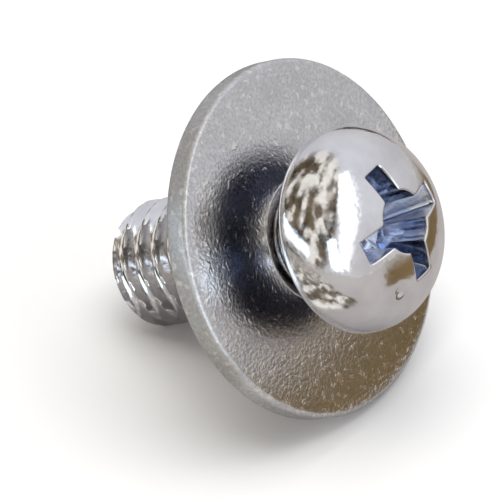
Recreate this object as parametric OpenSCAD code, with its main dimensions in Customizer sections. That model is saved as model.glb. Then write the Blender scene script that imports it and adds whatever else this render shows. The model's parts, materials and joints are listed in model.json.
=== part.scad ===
// Pan head machine screw with a loose flat washer held captive on its neck.
// It lies at rest on the thread's end and the washer's rim, head up, on the plane z = 0.

/* [Thread] */
// Diameter over the thread crests
thread_d = 3.95; // [3.84:0.01:3.98]
// Distance between thread crests
thread_pitch = 0.7; // [0.6:0.05:0.8]
// Depth of the thread from crest to root
thread_depth = 0.4; // [0.3:0.01:0.43]
// Length from under the head to the end
screw_l = 8.45; // [7.5:0.05:16]
// Diameter of the flat on the thread's end
end_d = 3.3; // [2.8:0.05:3.4]
// Length of the taper at the thread's end
end_taper_l = 0.3; // [0.25:0.05:0.6]

/* [Neck] */
// Diameter of the plain neck under the head
neck_d = 3.45; // [3.2:0.05:3.5]
// Radius between the neck and the head
neck_fillet_r = 0.12; // [0.05:0.01:0.2]

/* [Head] */
// Diameter of the head
head_d = 6.3; // [6:0.1:7]
// Height of the head
head_h = 2.5; // [2.4:0.05:2.7]
// Radius of the crown, as a ball
crown_r = 4.3; // [4.1:0.1:5]
// Radius of the shoulder between the side and the crown
shoulder_r = 1.8; // [1.6:0.05:1.9]
// Radius along the bottom edge of the head
rim_r = 0.18; // [0.05:0.01:0.25]

/* [Drive recess] */
// Width of the cross across two opposite wings
recess_d = 3.6; // [3.4:0.1:4]
// Depth of the recess below the top of the crown
recess_depth = 1.95; // [1.7:0.05:2.05]
// Width of one wing
wing_w = 0.75; // [0.6:0.05:0.9]
// Slope of the wing ends, from the screw's axis
wing_slope = 26.5; // [24:0.5:28]
// Diameter of the round core at the mouth
core_d = 1.9; // [1.7:0.1:2.2]
// Slope of the core's wall, from the screw's axis
core_slope = 6; // [4:1:8]
// Height of the core's pointed floor
core_point_l = 0.25; // [0.1:0.05:0.3]
// Turn of the cross about the screw's axis
recess_turn = 2; // [-45:1:45]

/* [Grade dimple] */
// Diameter of the ball that leaves the dimple
dimple_ball_d = 0.7; // [0.5:0.05:0.8]
// Depth of the dimple
dimple_depth = 0.12; // [0.05:0.01:0.2]
// Distance of the dimple from the screw's axis
dimple_reach = 2.05; // [1.9:0.05:2.15]
// Turn of the dimple about the screw's axis
dimple_turn = -31; // [-60:1:-28]

/* [Washer] */
// Outer diameter of the washer
washer_d = 11; // [10:0.1:12]
// Thickness of the washer
washer_t = 0.8; // [0.7:0.05:1]
// Radius along the washer's outer edges
washer_edge_r = 0.16; // [0.05:0.01:0.3]
// Radius along the edges of the washer's hole
bore_edge_r = 0.16; // [0.15:0.01:0.25]

/* [Fits] */
// Clearance of the washer's hole over the neck, on the diameter
bore_clearance = 0.25; // [0.15:0.01:0.3]
// Free travel of the washer along the neck
washer_travel = 1.42; // [1:0.02:1.5]
// Gap left at each end of the washer's travel
travel_gap = 0.03; // [0.02:0.01:0.1]

/* [Hidden] */
$fn = 96;
// points along a quarter turn of a rounded edge
edge_steps = 6;
// points along the shoulder and the crown
shoulder_steps = 16;
crown_steps = 12;
// how far a cut runs past the surface it opens
cut_over = 0.5;

thread_r = thread_d / 2;
root_r = thread_r - thread_depth;
end_r = end_d / 2;
neck_r = neck_d / 2;
head_r = head_d / 2;
washer_r = washer_d / 2;
bore_r = neck_r + bore_clearance / 2;

// heights along the screw's axis, from the seat under the head
washer_front = -washer_travel - travel_gap;
washer_back = washer_front - washer_t;
thread_top = washer_back - travel_gap;

// one turn of the thread: narrow crest, sloping sides, narrow root
crest_w = thread_pitch / 8;
root_w = thread_pitch / 4;
side_w = (thread_pitch - crest_w - root_w) / 2;
// whole turns run from the end's taper up to a slope that leads on from the neck
lead_w = thread_r - neck_r;
end_taper_top = -screw_l + end_taper_l;
thread_turns = floor((thread_top - lead_w - end_taper_top) / thread_pitch);

// the crown's ball and the shoulder's circle touch where both lie at this angle from the axis
crown_z = head_h - crown_r;
shoulder_x = head_r - shoulder_r;
crown_meet = asin(shoulder_x / (crown_r - shoulder_r));
shoulder_z = crown_z + (crown_r - shoulder_r) * cos(crown_meet);

// the recess mouth lies on the crown, below its top
mouth_drop = crown_r - sqrt(crown_r ^ 2 - (recess_d / 2) ^ 2);
wing_floor_r = recess_d / 2 - (recess_depth - mouth_drop) * tan(wing_slope);
core_floor_r = core_d / 2 - recess_depth * tan(core_slope);

// the angle at which the axis rises when the washer's rim and one point of the end touch the ground
function rest_angle(point) =
    let (rim = [washer_back + washer_edge_r, washer_r - washer_edge_r],
         span = rim - point)
    atan2(span.y, span.x) + asin(washer_edge_r / norm(span));
lie_angle = min(rest_angle([-screw_l, end_r]), rest_angle([end_taper_top, thread_r]));

// the ends of the lying part: the thread end's upper edge, the head's far side and the washer's lowest edge
lie_left = min(-screw_l * cos(lie_angle) - end_r * sin(lie_angle),
               end_taper_top * cos(lie_angle) - thread_r * sin(lie_angle));
lie_right = lie_angle < crown_meet
    ? crown_z * cos(lie_angle) + crown_r
    : shoulder_z * cos(lie_angle) + shoulder_x * sin(lie_angle) + shoulder_r;
lie_low = (washer_back + washer_edge_r) * sin(lie_angle)
          - (washer_r - washer_edge_r) * cos(lie_angle) - washer_edge_r;

// points of an arc round a centre, from one angle to another
function arc(centre, radius, from, to, steps) =
    [for (i = [0 : steps])
        let (a = from + (to - from) * i / steps)
        centre + radius * [cos(a), sin(a)]];

// half section of one thread turn above the crest below it
function thread_turn(bottom) =
    [[root_r, bottom + side_w],
     [root_r, bottom + side_w + root_w],
     [thread_r, bottom + thread_pitch - crest_w],
     [thread_r, bottom + thread_pitch]];

// half section of the screw without its recess, from the end up to the crown
function screw_section() = concat(
    [[0, -screw_l], [end_r, -screw_l], [thread_r, end_taper_top]],
    [for (i = [0 : thread_turns - 1]) each thread_turn(end_taper_top + i * thread_pitch)],
    [[neck_r, thread_top]],
    arc([neck_r + neck_fillet_r, -neck_fillet_r], neck_fillet_r, 180, 90, edge_steps),
    arc([head_r - rim_r, rim_r], rim_r, -90, 0, edge_steps),
    arc([shoulder_x, shoulder_z], shoulder_r, 0, 90 - crown_meet, shoulder_steps),
    [for (i = [1 : crown_steps])
        let (a = crown_meet * (1 - i / crown_steps))
        [crown_r * sin(a), crown_z + crown_r * cos(a)]]);

// half section of the washer, with all four edges rounded
function washer_section() = concat(
    arc([washer_r - washer_edge_r, washer_back + washer_edge_r], washer_edge_r, -90, 0, edge_steps),
    arc([washer_r - washer_edge_r, washer_front - washer_edge_r], washer_edge_r, 0, 90, edge_steps),
    arc([bore_r + bore_edge_r, washer_front - bore_edge_r], bore_edge_r, 90, 180, edge_steps),
    arc([bore_r + bore_edge_r, washer_back + bore_edge_r], bore_edge_r, 180, 270, edge_steps));

// a frustum from a floor height up past the crown, widening at a slope from the axis
module flare(floor_r, slope) {
    rise = recess_depth + cut_over;
    translate([0, 0, head_h - recess_depth])
        cylinder(h = rise, r1 = floor_r, r2 = floor_r + rise * tan(slope));
}

// the space of the cross recess: four sloping wings round a tapered core with a pointed floor
module drive_recess() {
    rise = recess_depth + cut_over;
    rotate(recess_turn) {
        for (turn = [0, 90])
            intersection() {
                flare(wing_floor_r, wing_slope);
                rotate(turn)
                    translate([-head_r, -wing_w / 2, head_h - recess_depth])
                        cube([head_d, wing_w, rise]);
            }
        flare(core_floor_r, core_slope);
        translate([0, 0, head_h - recess_depth - core_point_l])
            cylinder(h = core_point_l, r1 = 0, r2 = core_floor_r);
    }
}

// a shallow ball mark in the crown
module grade_dimple() {
    ball_r = dimple_ball_d / 2;
    surface_z = crown_z + sqrt(crown_r ^ 2 - dimple_reach ^ 2);
    rotate(dimple_turn)
        translate([dimple_reach, 0, surface_z + ball_r - dimple_depth])
            sphere(r = ball_r);
}

// lays a piece drawn upright on its axis down on the ground, with its box centred on the origin
module lay_down() {
    translate([-(lie_left + lie_right) / 2, 0, -lie_low])
        rotate([0, 90 - lie_angle, 0])
            children();
}

module screw() {
    color("gainsboro")
        lay_down()
            difference() {
                rotate_extrude() polygon(screw_section());
                drive_recess();
                grade_dimple();
            }
}

module washer() {
    color("darkgray")
        lay_down()
            rotate_extrude() polygon(washer_section());
}

screw();
washer();
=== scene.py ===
"""Pan head screw with a captive flat washer, lying at rest on its thread's end and the washer's rim."""
import json
import math
import bmesh
import bpy
from mathutils import Matrix, Vector


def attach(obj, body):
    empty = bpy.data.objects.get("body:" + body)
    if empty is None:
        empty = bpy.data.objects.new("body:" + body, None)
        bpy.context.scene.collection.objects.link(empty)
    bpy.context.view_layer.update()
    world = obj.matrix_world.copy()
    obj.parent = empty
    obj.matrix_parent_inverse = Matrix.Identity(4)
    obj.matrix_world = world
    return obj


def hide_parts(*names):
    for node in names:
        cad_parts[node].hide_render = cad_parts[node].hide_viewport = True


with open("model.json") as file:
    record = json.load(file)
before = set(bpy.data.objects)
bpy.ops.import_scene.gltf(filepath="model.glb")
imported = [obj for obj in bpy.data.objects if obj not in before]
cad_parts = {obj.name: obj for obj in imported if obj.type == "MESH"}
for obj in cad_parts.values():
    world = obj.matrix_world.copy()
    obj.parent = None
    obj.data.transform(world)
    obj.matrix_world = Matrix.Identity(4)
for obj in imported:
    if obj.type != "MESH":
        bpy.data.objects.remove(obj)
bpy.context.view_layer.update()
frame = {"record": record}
record = frame["record"]
mounts = {m["name"]: m for m in record["mounts"]}

# Sizes of the screw, in millimetres along its own axis from the seat under the head
MM = 0.001
HEAD_H = 2.5
HEAD_R = 3.15
CROWN_R = 4.3
SHOULDER_R = 1.8
RIM_R = 0.28
NECK_R = 1.725
NECK_FILLET_R = 0.12
THREAD_R = mounts["thread"]["dims"]["r_mm"]
THREAD_DEPTH = 0.4
PITCH = 0.7
THREAD_FADE = 0.35
THREAD_TOP = -2.28
SCREW_L = 8.45
END_R = 1.65
END_TAPER = 0.3
RECESS_R = 1.8
RECESS_DEPTH = 1.95
WING_HALF = 0.375
WING_FLOOR_R = 1.02
WING_FLOOR_HALF = 0.31
CORE_R = 0.95
CORE_FLOOR_R = 0.74
CORE_POINT = 0.25
RECESS_EDGE_R = 0.07
RECESS_TURN = math.radians(2)
DIMPLE_REACH = 2.05
DIMPLE_TURN = math.radians(-31)
DIMPLE_R = 0.27
DIMPLE_DEPTH = 0.12
DIMPLE_LOWEST = 1.5
CROWN_Z = HEAD_H - CROWN_R
# Where the crown's ball meets the rounded shoulder
SHOULDER_X = HEAD_R - SHOULDER_R
CROWN_MEET = math.asin(SHOULDER_X / (CROWN_R - SHOULDER_R))
SHOULDER_Z = CROWN_Z + (CROWN_R - SHOULDER_R) * math.cos(CROWN_MEET)
CROWN_EDGE = CROWN_R * math.sin(CROWN_MEET)

# Shares of a pitch, and the powers that hollow the thread's flanks and sharpen the recess's corners
THREAD_PHASE = 0.1
CREST_RISE = 0.9
FLANK_HOLLOW = 1.7
RECESS_SHARPNESS = 50

# Sizes of the washer, in the same measure
WASHER_R = 5.5
WASHER_T = 0.8
WASHER_FRONT = -1.45
WASHER_BACK = WASHER_FRONT - WASHER_T
WASHER_EDGE_R = 0.16
BORE_R = 1.85

# The screw's own frame: its z runs out of the head, and its x points down, square to z
axis = Vector(record["behaviour"]["joints"][0]["axis"]).normalized()
crown_top = Vector(mounts["drive_recess"]["pos_m"])
seat = crown_top - axis * HEAD_H * MM
side = Vector((0, 1, 0)).cross(axis)
to_rest = Matrix.Translation(seat) @ Matrix((
    (side.x, 0, axis.x, 0),
    (side.y, 1, axis.y, 0),
    (side.z, 0, axis.z, 0),
    (0, 0, 0, 1))) @ Matrix.Scale(MM, 4)


def smooth(low, high, value):
    """Rise from 0 to 1 between two values, with level ends."""
    t = min(1.0, max(0.0, (value - low) / (high - low)))
    return t * t * (3 - 2 * t)


def lerp(a, b, t):
    return a + (b - a) * t


def steps(low, high, count):
    """Evenly spaced values, with both ends."""
    return [lerp(low, high, i / (count - 1)) for i in range(count)]


def arc(centre_r, centre_z, radius, start, end, count):
    """Radius and height along an arc of a half section, by angles in degrees."""
    turns = [math.radians(a) for a in steps(start, end, count)]
    return [(centre_r + radius * math.cos(a), centre_z + radius * math.sin(a)) for a in turns]


# Rings of the screw and washer
AROUND = 192
EIGHTH = AROUND // 8
EVEN = [2 * math.pi * i / AROUND for i in range(AROUND)]
RINGS_PER_PITCH = 18
FLOOR_RING_SHARES = (0.12, 0.3, 0.5, 0.7, 0.88)
END_RING_SHARES = (0.97, 0.7, 0.4, 0.12)
SMOOTH_ANGLE = math.radians(40)
LEAST_SINE = 1e-4


def circle_ring(radius, height):
    return [Vector((radius * math.cos(a), radius * math.sin(a), height)) for a in EVEN]


def crown_height(radius):
    return CROWN_Z + math.sqrt(CROWN_R ** 2 - radius ** 2)


def cross_outline(length, half, core):
    """Angle and radius of a cross with softened corners, sampled closely along its wings."""
    tip = math.atan2(half, length)
    root = math.asin(half / core)
    mid = math.pi / 4
    stretch = EIGHTH // 4
    eighth = steps(0, tip, stretch + 1)[:-1]
    eighth += steps(tip, root, 2 * stretch + 1)[:-1]
    eighth += steps(root, mid, stretch + 1)
    sharp = RECESS_SHARPNESS
    points = []
    for wing in range(4):
        for turn in eighth[:-1] + [2 * mid - x for x in reversed(eighth[1:])]:
            near = turn if turn <= mid else 2 * mid - turn
            end = length / math.cos(near)
            wall = half / max(LEAST_SINE, math.sin(near))
            arm = (end ** -sharp + wall ** -sharp) ** (-1 / sharp)
            points.append((wing * 2 * mid + turn, (arm ** sharp + core ** sharp) ** (1 / sharp)))
    return points


def recess_outline(level, grow=0.0):
    """The recess outline at a level from its mouth, 0, to its floor, 1."""
    length = lerp(RECESS_R, WING_FLOOR_R, level) + grow
    half = lerp(WING_HALF, WING_FLOOR_HALF, level) + grow
    core = lerp(CORE_R, CORE_FLOOR_R, level) + grow
    return cross_outline(length, half, core)


def polar(angle, radius, height):
    turned = angle + RECESS_TURN
    return Vector((radius * math.cos(turned), radius * math.sin(turned), height))


def recess_rings():
    """Rings from the recess floor up its walls, over its rounded mouth and across the crown."""
    floor_z = HEAD_H - RECESS_DEPTH
    edge = RECESS_EDGE_R
    rings = []
    floor = recess_outline(1.0)
    for share in FLOOR_RING_SHARES:
        drop = CORE_POINT * (1 - share)
        rings.append([polar(a, r * share, floor_z - drop) for a, r in floor])
    mouth = [crown_height(r) - edge for a, r in recess_outline(0.0)]
    for level in steps(1.0, 0.0, 14):
        heights = [lerp(z, floor_z, level) for z in mouth]
        rings.append([polar(a, r, z) for (a, r), z in zip(recess_outline(level), heights)])
    for turn in steps(0, 90, 6)[1:]:
        lean = math.radians(90 - turn)
        grow = edge * (1 - math.sin(lean))
        drop = edge * (1 - math.cos(lean))
        rings.append([polar(a, r, crown_height(r) - drop) for a, r in recess_outline(0.0, grow)])
    outline = recess_outline(0.0, edge)
    for share in steps(0, 1, 18)[1:]:
        ring = []
        for (a, r), even in zip(outline, EVEN):
            radius = lerp(r, CROWN_EDGE, share)
            ring.append(polar(lerp(a, even, share), radius, crown_height(radius)))
        rings.append(ring)
    return rings


def head_rings():
    """Rings from the crown's edge over the shoulder, down the side and under the head to the neck."""
    section = arc(SHOULDER_X, SHOULDER_Z, SHOULDER_R, 90 - math.degrees(CROWN_MEET), 0, 26)[1:]
    section += [(HEAD_R, z) for z in steps(SHOULDER_Z, RIM_R, 4)[1:-1]]
    section += arc(HEAD_R - RIM_R, RIM_R, RIM_R, 0, -90, 9)
    section += [(r, 0) for r in steps(HEAD_R - RIM_R, NECK_R + NECK_FILLET_R, 6)[1:-1]]
    section += arc(NECK_R + NECK_FILLET_R, -NECK_FILLET_R, NECK_FILLET_R, 90, 180, 6)
    section += [(NECK_R, z) for z in steps(-NECK_FILLET_R, THREAD_TOP, 5)[1:]]
    return [circle_ring(r, z) for r, z in section]


def thread_height(share):
    """Height of the thread between its hollow root, 0, and narrow crest, 1, over one pitch."""
    rise = 1 - abs(2 * (share % 1) - 1)
    return min(1.0, rise / CREST_RISE) ** FLANK_HOLLOW


def thread_rings():
    """Rings down the right-hand thread, fading in from the neck and out at the tapered end."""
    count = round((SCREW_L + THREAD_TOP) / PITCH * RINGS_PER_PITCH)
    rings = []
    for z in steps(THREAD_TOP, -SCREW_L, count + 1)[1:]:
        fade_in = smooth(0, THREAD_FADE, THREAD_TOP - z)
        below = max(0.0, (-SCREW_L + END_TAPER - z) / END_TAPER)
        taper = lerp(THREAD_R, END_R, below)
        ring = []
        for a in EVEN:
            height = thread_height(z / PITCH - a / (2 * math.pi) + THREAD_PHASE)
            radius = THREAD_R - THREAD_DEPTH + THREAD_DEPTH * height
            radius = min(lerp(NECK_R, radius, fade_in), taper)
            ring.append(Vector((radius * math.cos(a), radius * math.sin(a), z)))
        rings.append(ring)
    rings += [circle_ring(END_R * share, -SCREW_L) for share in END_RING_SHARES]
    return rings


def place_selected(points, mesh):
    """Move the selected ring's points, in order of their angle, to a ring's places."""
    ring = [v for v in mesh.verts if v.select]
    ring.sort(key=lambda v: math.atan2(v.co.y, v.co.x) % (2 * math.pi))
    order = sorted(points, key=lambda p: math.atan2(p.y, p.x) % (2 * math.pi))
    for vert, point in zip(ring, order):
        vert.co = point


def loft(name, rings, ring_closed):
    """Draw a ring and extrude it through a list of rings; close the tube on itself or fill its ends."""
    bpy.ops.object.select_all(action="DESELECT")
    bpy.ops.mesh.primitive_circle_add(vertices=AROUND, radius=1)
    piece = bpy.context.object
    piece.name = name
    bpy.ops.object.mode_set(mode="EDIT")
    bpy.ops.mesh.select_mode(type="EDGE")
    bpy.ops.mesh.select_all(action="SELECT")
    place_selected(rings[0], bmesh.from_edit_mesh(piece.data))
    for ring in rings[1:]:
        bpy.ops.mesh.extrude_edges_move()
        place_selected(ring, bmesh.from_edit_mesh(piece.data))
    bpy.ops.mesh.select_all(action="DESELECT")
    bpy.ops.mesh.select_non_manifold()
    if ring_closed:
        bpy.ops.mesh.bridge_edge_loops()
    else:
        bpy.ops.mesh.fill_holes(sides=0)
    bpy.ops.mesh.select_all(action="SELECT")
    bpy.ops.mesh.normals_make_consistent(inside=False)
    bpy.ops.object.mode_set(mode="OBJECT")
    piece.data.name = name
    return piece


def lay_down(piece):
    """Take a piece drawn upright in millimetres to where it lies at rest, with its mesh at full size."""
    bpy.ops.object.select_all(action="DESELECT")
    piece.select_set(True)
    bpy.context.view_layer.objects.active = piece
    piece.matrix_world = to_rest
    bpy.ops.object.transform_apply(location=True, rotation=True, scale=True)
    bpy.ops.object.shade_smooth_by_angle(angle=SMOOTH_ANGLE)


def press_dimple(piece):
    """Sink a small round mark into the crown."""
    centre = Vector((DIMPLE_REACH * math.cos(DIMPLE_TURN), DIMPLE_REACH * math.sin(DIMPLE_TURN)))
    for vert in piece.data.vertices:
        reach = (vert.co.xy - centre).length
        if vert.co.z > DIMPLE_LOWEST and reach < DIMPLE_R:
            vert.co.z -= DIMPLE_DEPTH * smooth(0, 1, 1 - reach / DIMPLE_R)


def make_screw():
    piece = loft("screw_detail", recess_rings() + head_rings() + thread_rings(), ring_closed=False)
    press_dimple(piece)
    lay_down(piece)
    return piece


def make_washer():
    edge = WASHER_EDGE_R
    section = arc(WASHER_R - edge, WASHER_BACK + edge, edge, -90, 0, 8)
    section += arc(WASHER_R - edge, WASHER_FRONT - edge, edge, 0, 90, 8)
    section += [(r, WASHER_FRONT) for r in steps(WASHER_R - edge, BORE_R + edge, 10)[1:-1]]
    section += arc(BORE_R + edge, WASHER_FRONT - edge, edge, 90, 180, 8)
    section += arc(BORE_R + edge, WASHER_BACK + edge, edge, 180, 270, 8)
    section += [(r, WASHER_BACK) for r in steps(BORE_R + edge, WASHER_R - edge, 10)[1:-1]]
    piece = loft("washer_detail", [circle_ring(r, z) for r, z in section], ring_closed=True)
    lay_down(piece)
    return piece


# Colours of the finishes, with painted shade and a painted reflection
BRIGHT_LOW = (0.74, 0.73, 0.75)
BRIGHT_HIGH = (0.86, 0.85, 0.86)
# Painted shade under the head
SEAT_PAINTED_SHADE = (0.1, 0.11, 0.16)
# Painted blue reflection in the recess
RECESS_PAINTED_REFLECTION = (0.6, 0.65, 0.77)
SATIN_LOW = (0.7, 0.7, 0.71)
SATIN_HIGH = (0.8, 0.8, 0.81)
SPECK_GREY = (0.45, 0.45, 0.45)
FLECK_PALE = (0.9, 0.89, 0.87)

# Where the painted shade under the head ends, in millimetres from the axis and along it
SHADE_FULL_R = 2.4
SHADE_END_R = 2.85
SHADE_FULL_Z = -0.3
SHADE_END_Z = -0.6

# Sockets of a Mix node that mixes colours
MIX_FIRST = 6
MIX_SECOND = 7
MIX_RESULT = 2


# Materials
def new_material(name):
    material = bpy.data.materials.new(name)
    material.use_nodes = True
    return material, material.node_tree.nodes, material.node_tree.links


def noise(nodes, links, source, scale):
    node = nodes.new("ShaderNodeTexNoise")
    node.inputs["Scale"].default_value = scale
    links.new(source, node.inputs["Vector"])
    return node.outputs["Fac"]


def spread(nodes, links, value, low, high, out_low, out_high):
    node = nodes.new("ShaderNodeMapRange")
    node.inputs["From Min"].default_value = low
    node.inputs["From Max"].default_value = high
    node.inputs["To Min"].default_value = out_low
    node.inputs["To Max"].default_value = out_high
    links.new(value, node.inputs["Value"])
    return node.outputs["Result"]


def mix_colour(nodes, links, share, first, second):
    node = nodes.new("ShaderNodeMix")
    node.data_type = "RGBA"
    links.new(share, node.inputs["Factor"])
    for socket, colour in ((node.inputs[MIX_FIRST], first), (node.inputs[MIX_SECOND], second)):
        if isinstance(colour, tuple):
            socket.default_value = (*colour, 1)
        else:
            links.new(colour, socket)
    return node.outputs[MIX_RESULT]


def bump(nodes, links, height, strength, distance, normal=None):
    node = nodes.new("ShaderNodeBump")
    node.inputs["Strength"].default_value = strength
    node.inputs["Distance"].default_value = distance
    links.new(height, node.inputs["Height"])
    if normal is not None:
        links.new(normal, node.inputs["Normal"])
    return node.outputs["Normal"]


def new_group(name, inputs, outputs):
    """An empty shader node group with named sockets, given as names and socket types."""
    group = bpy.data.node_groups.new(name, "ShaderNodeTree")
    for socket, kind in inputs:
        group.interface.new_socket(name=socket, in_out="INPUT", socket_type=kind)
    for socket, kind in outputs:
        group.interface.new_socket(name=socket, in_out="OUTPUT", socket_type=kind)
    enter = group.nodes.new("NodeGroupInput")
    leave = group.nodes.new("NodeGroupOutput")
    return group, enter.outputs, leave.inputs


def vector_maths(nodes, links, operation, source, constant=None):
    node = nodes.new("ShaderNodeVectorMath")
    node.operation = operation
    links.new(source, node.inputs[0])
    if constant is not None:
        node.inputs[1].default_value = constant
    return node.outputs["Value" if operation in ("DOT_PRODUCT", "LENGTH") else "Vector"]


def maths(nodes, links, operation, first, second):
    node = nodes.new("ShaderNodeMath")
    node.operation = operation
    links.new(first, node.inputs[0])
    links.new(second, node.inputs[1])
    return node.outputs[0]


def make_axis_group():
    """Height along the screw's axis from the seat, and distance from the axis, in metres."""
    group, enter, leave = new_group(
        "axis_places",
        [("Place", "NodeSocketVector")],
        [("Height", "NodeSocketFloat"), ("Reach", "NodeSocketFloat")])
    nodes, links = group.nodes, group.links
    from_seat = vector_maths(nodes, links, "SUBTRACT", enter["Place"], seat)
    links.new(vector_maths(nodes, links, "DOT_PRODUCT", from_seat, axis), leave["Height"])
    across = vector_maths(nodes, links, "CROSS_PRODUCT", from_seat, axis)
    links.new(vector_maths(nodes, links, "LENGTH", across), leave["Reach"])
    return group


def make_grain_group():
    """Soft clouds and fine grain of a zinc coat, each at its own scale."""
    group, enter, leave = new_group(
        "zinc_grain",
        [("Place", "NodeSocketVector"),
         ("Cloud Scale", "NodeSocketFloat"),
         ("Grain Scale", "NodeSocketFloat")],
        [("Cloud", "NodeSocketFloat"), ("Grain", "NodeSocketFloat")])
    nodes, links = group.nodes, group.links
    for name in ("Cloud", "Grain"):
        node = nodes.new("ShaderNodeTexNoise")
        node.inputs["Detail"].default_value = 3
        links.new(enter["Place"], node.inputs["Vector"])
        links.new(enter[name + " Scale"], node.inputs["Scale"])
        links.new(node.outputs["Fac"], leave[name])
    return group


AXIS_GROUP = make_axis_group()
GRAIN_GROUP = make_grain_group()


def place_axis(nodes, links, place):
    node = nodes.new("ShaderNodeGroup")
    node.node_tree = AXIS_GROUP
    links.new(place, node.inputs["Place"])
    return node.outputs["Height"], node.outputs["Reach"]


def place_grain(nodes, links, place, cloud_scale, grain_scale):
    node = nodes.new("ShaderNodeGroup")
    node.node_tree = GRAIN_GROUP
    links.new(place, node.inputs["Place"])
    node.inputs["Cloud Scale"].default_value = cloud_scale
    node.inputs["Grain Scale"].default_value = grain_scale
    return node.outputs["Cloud"], node.outputs["Grain"]


def recess_reflection_mask(nodes, links, height, reach):
    """Mask of the painted blue reflection: 1 on the walls and floor of the drive recess, and 0 elsewhere.
    """
    crown = spread(nodes, links, reach, 0, RECESS_R * MM, HEAD_H * MM, crown_height(RECESS_R) * MM)
    depth = maths(nodes, links, "SUBTRACT", crown, height)
    sunk = spread(nodes, links, depth, 0.06 * MM, 0.3 * MM, 0, 1)
    inside = spread(nodes, links, reach, (RECESS_R + 0.08) * MM, RECESS_R * MM, 0, 1)
    in_head = spread(nodes, links, height, 0, 0.1 * MM, 0, 1)
    hollow = maths(nodes, links, "MULTIPLY", sunk, inside)
    return maths(nodes, links, "MULTIPLY", hollow, in_head)


def painted_shade_mask(nodes, links, height, reach):
    """Mask of the painted shade: 1 on the seat under the head, fading towards the rim and the neck."""
    below = spread(nodes, links, height, 0.08 * MM, 0.01 * MM, 0, 1)
    above = spread(nodes, links, height, SHADE_END_Z * MM, SHADE_FULL_Z * MM, 0, 1)
    near_neck = spread(nodes, links, reach, SHADE_FULL_R * MM, SHADE_END_R * MM, 1, 0)
    band = maths(nodes, links, "MULTIPLY", below, above)
    return maths(nodes, links, "MULTIPLY", band, near_neck)


def bright_zinc():
    """Mirror-bright zinc on the screw, with faint waviness, a painted blue reflection in the recess and
    painted shade under the head.
    """
    material, nodes, links = new_material("bright_zinc")
    shader = nodes["Principled BSDF"]
    place = nodes.new("ShaderNodeTexCoord").outputs["Object"]
    height, reach = place_axis(nodes, links, place)
    cloud, grain = place_grain(nodes, links, place, cloud_scale=900, grain_scale=9000)
    shader.inputs["Metallic"].default_value = 1.0
    tone = spread(nodes, links, cloud, 0.35, 0.65, 0, 1)
    colour = mix_colour(nodes, links, tone, BRIGHT_LOW, BRIGHT_HIGH)
    # Painted shade under the head, darkening the seat and the top of the neck
    colour = mix_colour(nodes, links, painted_shade_mask(nodes, links, height, reach), colour, SEAT_PAINTED_SHADE)
    # Painted blue reflection on the recess's walls and floor
    colour = mix_colour(nodes, links, recess_reflection_mask(nodes, links, height, reach), colour, RECESS_PAINTED_REFLECTION)
    links.new(colour, shader.inputs["Base Color"])
    links.new(spread(nodes, links, grain, 0.3, 0.7, 0.08, 0.17), shader.inputs["Roughness"])
    wave = bump(nodes, links, cloud, strength=0.3, distance=0.08 * MM)
    fine = bump(nodes, links, grain, strength=0.08, distance=0.02 * MM, normal=wave)
    links.new(fine, shader.inputs["Normal"])
    return material


def satin_zinc():
    """Satin zinc on the washer, finely pebbled, with pale flecks and a matt stamped edge."""
    material, nodes, links = new_material("satin_zinc")
    shader = nodes["Principled BSDF"]
    place = nodes.new("ShaderNodeTexCoord").outputs["Object"]
    reach = place_axis(nodes, links, place)[1]
    cloud, pebble = place_grain(nodes, links, place, cloud_scale=700, grain_scale=9000)
    shader.inputs["Metallic"].default_value = 1.0
    tone = spread(nodes, links, cloud, 0.3, 0.7, 0, 1)
    colour = mix_colour(nodes, links, tone, SATIN_LOW, SATIN_HIGH)
    speck = spread(nodes, links, noise(nodes, links, place, scale=11000), 0.35, 0.65, 0, 0.5)
    colour = mix_colour(nodes, links, speck, colour, SPECK_GREY)
    fleck = spread(nodes, links, noise(nodes, links, place, scale=4200), 0.58, 0.7, 0, 1)
    colour = mix_colour(nodes, links, fleck, colour, FLECK_PALE)
    links.new(colour, shader.inputs["Base Color"])
    matt_edge = spread(nodes, links, reach, (WASHER_R - 0.2) * MM, (WASHER_R - 0.03) * MM, 0, 0.35)
    satin = spread(nodes, links, pebble, 0.3, 0.7, 0.09, 0.17)
    links.new(maths(nodes, links, "ADD", matt_edge, satin), shader.inputs["Roughness"])
    grain = bump(nodes, links, pebble, strength=0.2, distance=0.06 * MM)
    raised = bump(nodes, links, fleck, strength=0.25, distance=0.02 * MM, normal=grain)
    links.new(raised, shader.inputs["Normal"])
    return material


def wear(piece, material):
    piece.data.materials.clear()
    piece.data.materials.append(material)


screw = make_screw()
wear(screw, bright_zinc())
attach(screw, "screw")
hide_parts("screw")

washer = make_washer()
wear(washer, satin_zinc())
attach(washer, "washer")
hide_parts("washer")


# Stage colours, and places in metres
FLOOR_WHITE = (0.94, 0.94, 0.94)
TABLE_GREY = (0.45, 0.43, 0.42)
TABLE_DARK = (0.025, 0.023, 0.022)
WOOD_BROWN = (0.25, 0.17, 0.07)
WINDOW_BLUE = (0.78, 0.89, 1)
TALL_WINDOW_BLUE = (0.74, 0.88, 1)
CLUTTER_BLACK = (0.025, 0.02, 0.013)
CLUTTER_BROWN = (0.16, 0.12, 0.075)
CLUTTER_CREAM = (1.0, 0.97, 0.9)
ROOM_LOW = (0.6, 0.59, 0.6)
ROOM_HIGH = (0.76, 0.78, 0.83)
CARD_END = 0.2
DARK_EDGE = -0.018
CARD_LIFT = 0.00002
WOOD_FADE = 0.003
WOOD_TOP = 0.0065
STRIP_PLACE = Vector((0.74, -0.1, 0.67)) * 0.22


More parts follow.
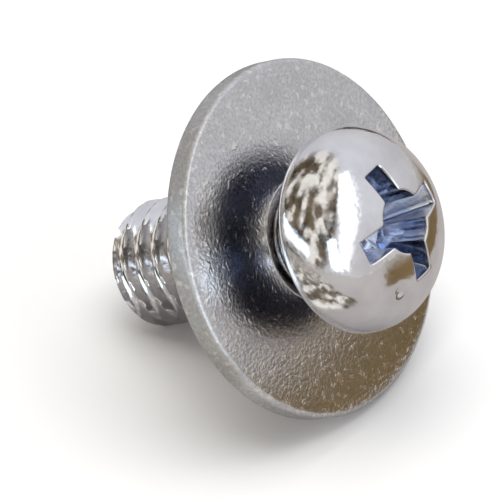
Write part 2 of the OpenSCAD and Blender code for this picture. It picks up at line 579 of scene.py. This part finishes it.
# Stage: floor, studio light and camera
def plain_colour(name, colour, glow=0.0):
    """A matt colour that may also glow."""
    material = new_material(name)[0]
    shader = material.node_tree.nodes["Principled BSDF"]
    shader.inputs["Base Color"].default_value = (*colour, 1)
    shader.inputs["Roughness"].default_value = 0.9
    shader.inputs["Emission Color"].default_value = (*colour, 1)
    shader.inputs["Emission Strength"].default_value = glow
    return material


def make_floor():
    bpy.ops.object.select_all(action="DESELECT")
    bpy.ops.mesh.primitive_plane_add(size=2)
    floor = bpy.context.object
    floor.name = "floor"
    wear(floor, plain_colour("floor_white", FLOOR_WHITE))


CAMERA_AZIMUTH = math.radians(34.15)
CAMERA_ELEVATION = math.radians(36.35)
FOCAL_PX = 5000
FRAME_PX = 500
SENSOR_MM = 36
# The washer's centre in the photo's frame, and the washer's radius there
WASHER_PX = (312.5, 237)
WASHER_R_PX = 181.5
# The camera's own axes
view_right = Vector((math.cos(CAMERA_AZIMUTH), math.sin(CAMERA_AZIMUTH), 0))
view_back = Vector((
    math.sin(CAMERA_AZIMUTH) * math.cos(CAMERA_ELEVATION),
    -math.cos(CAMERA_AZIMUTH) * math.cos(CAMERA_ELEVATION),
    math.sin(CAMERA_ELEVATION)))
view_up = view_back.cross(view_right)


def make_camera():
    target = seat + axis * WASHER_FRONT * MM
    depth = FOCAL_PX / WASHER_R_PX * WASHER_R * MM
    shift_right = (WASHER_PX[0] - FRAME_PX / 2) / FOCAL_PX * depth
    shift_up = (FRAME_PX / 2 - WASHER_PX[1]) / FOCAL_PX * depth
    place = target + view_back * depth - view_right * shift_right - view_up * shift_up
    lens = bpy.data.cameras.new("camera")
    lens.sensor_width = SENSOR_MM
    lens.lens = SENSOR_MM * FOCAL_PX / FRAME_PX
    lens.clip_start = 0.005
    camera = bpy.data.objects.new("camera", lens)
    bpy.context.collection.objects.link(camera)
    camera.matrix_world = Matrix((
        (view_right.x, view_up.x, view_back.x, place.x),
        (view_right.y, view_up.y, view_back.y, place.y),
        (view_right.z, view_up.z, view_back.z, place.z),
        (0, 0, 0, 1)))
    bpy.context.scene.camera = camera


def make_light(name, place, along, width, length, watts):
    """A soft white lamp box that faces the object, with its length along a direction."""
    lamp = bpy.data.lights.new(name, "AREA")
    lamp.shape = "RECTANGLE"
    lamp.energy = watts
    lamp.size = width
    lamp.size_y = length
    light = bpy.data.objects.new(name, lamp)
    bpy.context.collection.objects.link(light)
    out = place.normalized()
    up = (along - out * along.dot(out)).normalized()
    across = up.cross(out)
    light.matrix_world = Matrix((
        (across.x, up.x, out.x, place.x),
        (across.y, up.y, out.y, place.y),
        (across.z, up.z, out.z, place.z),
        (0, 0, 0, 1)))
    return light


def make_card(name, corners, material):
    """A card near the object, seen only in its reflections."""
    bpy.ops.object.select_all(action="DESELECT")
    bpy.ops.mesh.primitive_plane_add(size=1)
    card = bpy.context.object
    card.name = name
    for vert, corner in zip(card.data.vertices, corners):
        vert.co = corner
    wear(card, material)
    card.visible_camera = False
    card.visible_shadow = False
    card.visible_diffuse = False


def standing(heading, distance, low, high, width):
    """Corners of a card that stands facing the object."""
    away = Vector((math.cos(heading), math.sin(heading), 0))
    across = Vector((-away.y, away.x, 0))
    ends = (away * distance - across * width / 2, away * distance + across * width / 2)
    return [end + Vector((0, 0, z)) for z in (low, high) for end in ends]


def lying(left, right, front, rear, height):
    """Corners of a card that lies level on the floor."""
    return [Vector((x, y, height)) for y in (front, rear) for x in (left, right)]


def clutter(nodes, links, place, scale):
    """Blurred dark and brown things with cream lights among them."""
    wood = spread(nodes, links, noise(nodes, links, place, scale), 0.4, 0.6, 0, 1)
    colour = mix_colour(nodes, links, wood, CLUTTER_BLACK, CLUTTER_BROWN)
    lights = spread(nodes, links, noise(nodes, links, place, scale * 1.5), 0.48, 0.57, 0, 1)
    return mix_colour(nodes, links, lights, colour, CLUTTER_CREAM)


def cluttered():
    """A card's surface that glows as the cluttered side of the room does."""
    material = plain_colour("clutter", (0, 0, 0), glow=1.0)
    nodes, links = material.node_tree.nodes, material.node_tree.links
    place = nodes.new("ShaderNodeTexCoord").outputs["Object"]
    things = clutter(nodes, links, place, scale=260)
    links.new(things, nodes["Principled BSDF"].inputs["Emission Color"])
    return material


def fading_wood():
    """A brown card's surface that fades out towards its top."""
    material = plain_colour("wood", WOOD_BROWN)
    nodes, links = material.node_tree.nodes, material.node_tree.links
    split = nodes.new("ShaderNodeSeparateXYZ")
    links.new(nodes.new("ShaderNodeTexCoord").outputs["Object"], split.inputs[0])
    solid = spread(nodes, links, split.outputs["Z"], WOOD_FADE, WOOD_TOP, 1, 0)
    links.new(solid, nodes["Principled BSDF"].inputs["Alpha"])
    return material


# The middle of the room's dark, cluttered side, to the left of the camera
DARK_SIDE = Vector((-0.35, -0.6, 0.72)).normalized()


def make_world():
    """A pale room, cooler towards its ceiling, with a dark, cluttered side."""
    world = bpy.data.worlds.new("studio")
    world.use_nodes = True
    bpy.context.scene.world = world
    nodes, links = world.node_tree.nodes, world.node_tree.links
    heading = nodes.new("ShaderNodeTexCoord").outputs["Generated"]
    split = nodes.new("ShaderNodeSeparateXYZ")
    links.new(heading, split.inputs[0])
    climb = spread(nodes, links, split.outputs["Z"], 0.0, 0.8, 0, 1)
    room = mix_colour(nodes, links, climb, ROOM_LOW, ROOM_HIGH)
    facing = vector_maths(nodes, links, "DOT_PRODUCT", heading, DARK_SIDE)
    dark_side = spread(nodes, links, facing, 0.38, 0.5, 0, 1)
    things = clutter(nodes, links, heading, scale=2.4)
    around = mix_colour(nodes, links, dark_side, room, things)
    links.new(around, nodes["Background"].inputs["Color"])
    nodes["Background"].inputs["Strength"].default_value = 1.0


make_floor()
make_world()
make_card(
    "table_card",
    lying(left=DARK_EDGE, right=CARD_END, front=-CARD_END, rear=CARD_END, height=CARD_LIFT),
    plain_colour("table", TABLE_GREY))
make_card(
    "dark_card",
    lying(left=-CARD_END, right=DARK_EDGE, front=-CARD_END, rear=CARD_END, height=CARD_LIFT),
    plain_colour("dark", TABLE_DARK))
make_card(
    "clutter_card",
    lying(left=-0.03, right=0.012, front=-0.08, rear=-0.006, height=2 * CARD_LIFT),
    cluttered())
make_card(
    "wood_card",
    standing(heading=math.radians(42), distance=0.016, low=0, high=WOOD_TOP, width=0.026),
    fading_wood())
make_card(
    "window_card",
    standing(heading=math.radians(-115), distance=0.025, low=0.009, high=0.015, width=0.03),
    plain_colour("window", WINDOW_BLUE, glow=1.0))
make_card(
    "tall_window_card",
    standing(heading=math.radians(-43), distance=0.1, low=0.012, high=0.064, width=0.032),
    plain_colour("tall_window", TALL_WINDOW_BLUE, glow=2.2))
ceiling = make_light(
    "ceiling", place=Vector((0, 0, 0.32)), along=Vector((0, 1, 0)), width=0.3, length=0.3, watts=0.7)
ceiling.visible_glossy = False
make_light(
    "strip", place=STRIP_PLACE, along=Vector((-0.46, 0.65, 0.6)), width=0.06, length=0.36, watts=0.07)
make_camera()
bpy.context.scene.view_settings.view_transform = "Standard"
